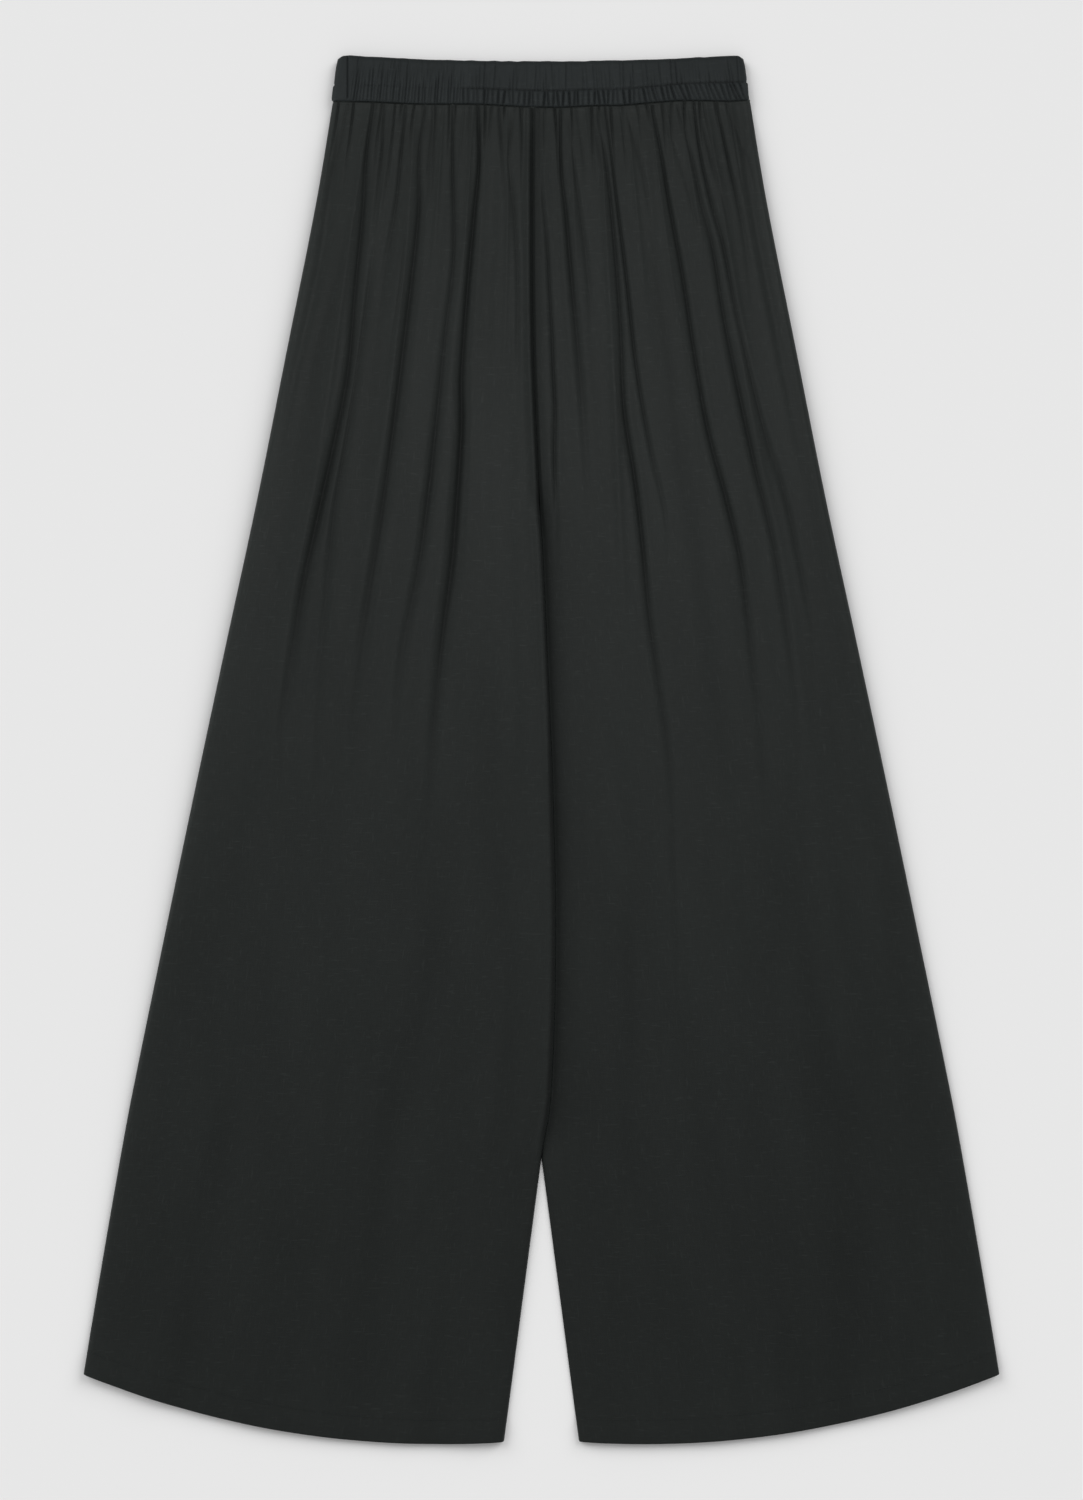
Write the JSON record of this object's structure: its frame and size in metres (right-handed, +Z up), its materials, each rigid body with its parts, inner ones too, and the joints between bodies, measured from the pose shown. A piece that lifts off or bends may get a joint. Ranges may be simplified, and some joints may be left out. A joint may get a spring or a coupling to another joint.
{
  "type": "palazzo pants",
  "caption": "Wide-leg palazzo pants with a gathered elasticated waistband, lying flat front up with the legs slightly apart.",
  "frame": {"origin": "on the surface the cloth lies on, under the middle of the garment's outline", "axes": "+Y from the hems to the waist, +X to the wearer's left, +Z up out of the front of the garment"},
  "size_m": [0.712, 1.0797, 0.0091],
  "materials": {
    "leg_cloth": "matte slubbed plain weave",
    "waistband_cloth": "matte plain weave, finely ruched by the elastic"
  },
  "bodies": {
    "root": {"front_leg_right": "leg_cloth", "front_leg_left": "leg_cloth", "back_leg_right": "leg_cloth", "back_leg_left": "leg_cloth", "waistband": "waistband_cloth"}
  },
  "joints": []
}
